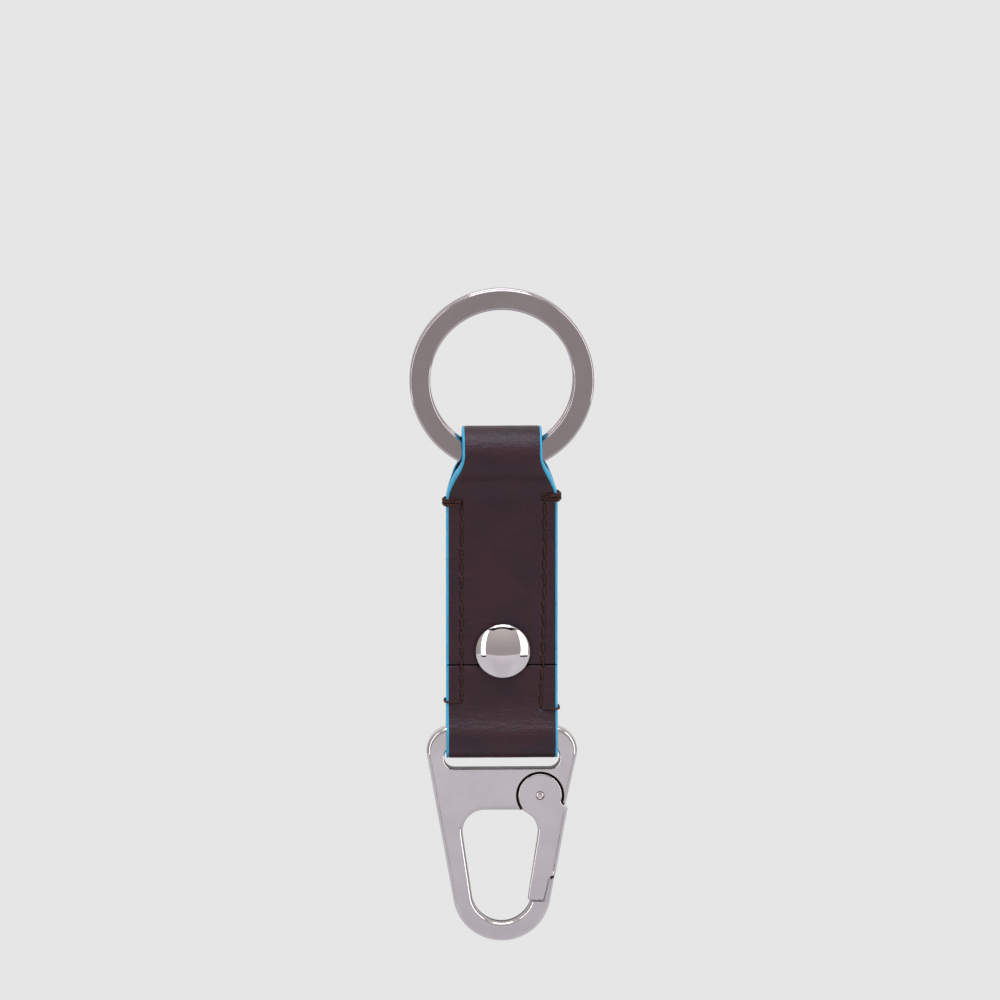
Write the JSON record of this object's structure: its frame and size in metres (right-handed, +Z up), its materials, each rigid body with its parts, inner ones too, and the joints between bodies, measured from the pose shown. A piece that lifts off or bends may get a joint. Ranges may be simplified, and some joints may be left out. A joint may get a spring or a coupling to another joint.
{
  "type": "keychain",
  "caption": "Leather strap key fob with a flat split ring at the top and a flat snap hook with a sprung gate at the bottom.",
  "frame": {"origin": "top of the split ring's inner edge, mid-depth, where a peg or a finger carries the fob", "axes": "+Z up along the strap from hook to ring, +X across the strap, -Y out of the front face"},
  "size_m": [0.032, 0.01, 0.1143],
  "materials": {
    "bright_nickel": "bright nickel plate",
    "burgundy_leather": "smooth, semi-gloss, dark burgundy-brown",
    "lining_leather": "matt lining leather",
    "blue_edge_paint": "satin blue edge paint",
    "brown_thread": "waxed thread",
    "polished_cap": "mirror nickel plate",
    "plated_zinc": "satin-bright nickel plate on cast zinc",
    "spring_wire": "drawn wire"
  },
  "bodies": {
    "ring": {"split_ring": "bright_nickel"},
    "strap": {"strap_outer": "burgundy_leather", "strap_lining": "lining_leather", "edge_paint_left": "blue_edge_paint", "edge_paint_right": "blue_edge_paint", "thread_front_left": "brown_thread", "thread_front_right": "brown_thread", "thread_back_left": "brown_thread", "thread_back_right": "brown_thread", "edge_wrap_upper_left": "brown_thread", "edge_wrap_upper_right": "brown_thread", "edge_wrap_lower_left": "brown_thread", "edge_wrap_lower_right": "brown_thread", "rivet_front_cap": "polished_cap", "rivet_back_cap": "polished_cap", "rivet_socket": "polished_cap", "rivet_post": "polished_cap"},
    "hook": {"hook_frame": "plated_zinc", "gate_pivot_pin": "polished_cap", "gate_spring": "spring_wire"},
    "gate": {"hook_gate": "plated_zinc"}
  },
  "joints": [
    {"name": "ring_swing", "type": "hinge", "parent": "ring", "child": "strap", "pos_m": [0, 0, -0.02545], "axis": [1, 0, 0], "range_deg": [-90, 90]},
    {"name": "hook_swing", "type": "hinge", "parent": "strap", "child": "hook", "pos_m": [0, 0, -0.0747], "axis": [1, 0, 0], "range_deg": [-120, 120]},
    {"name": "gate_hinge", "type": "hinge", "parent": "hook", "child": "gate", "pos_m": [0.00662, 0, -0.08508], "axis": [0, 1, 0], "range_deg": [0, 30], "stiffness_Nm_per_rad": 0.02, "springref_deg": -22.92}
  ]
}
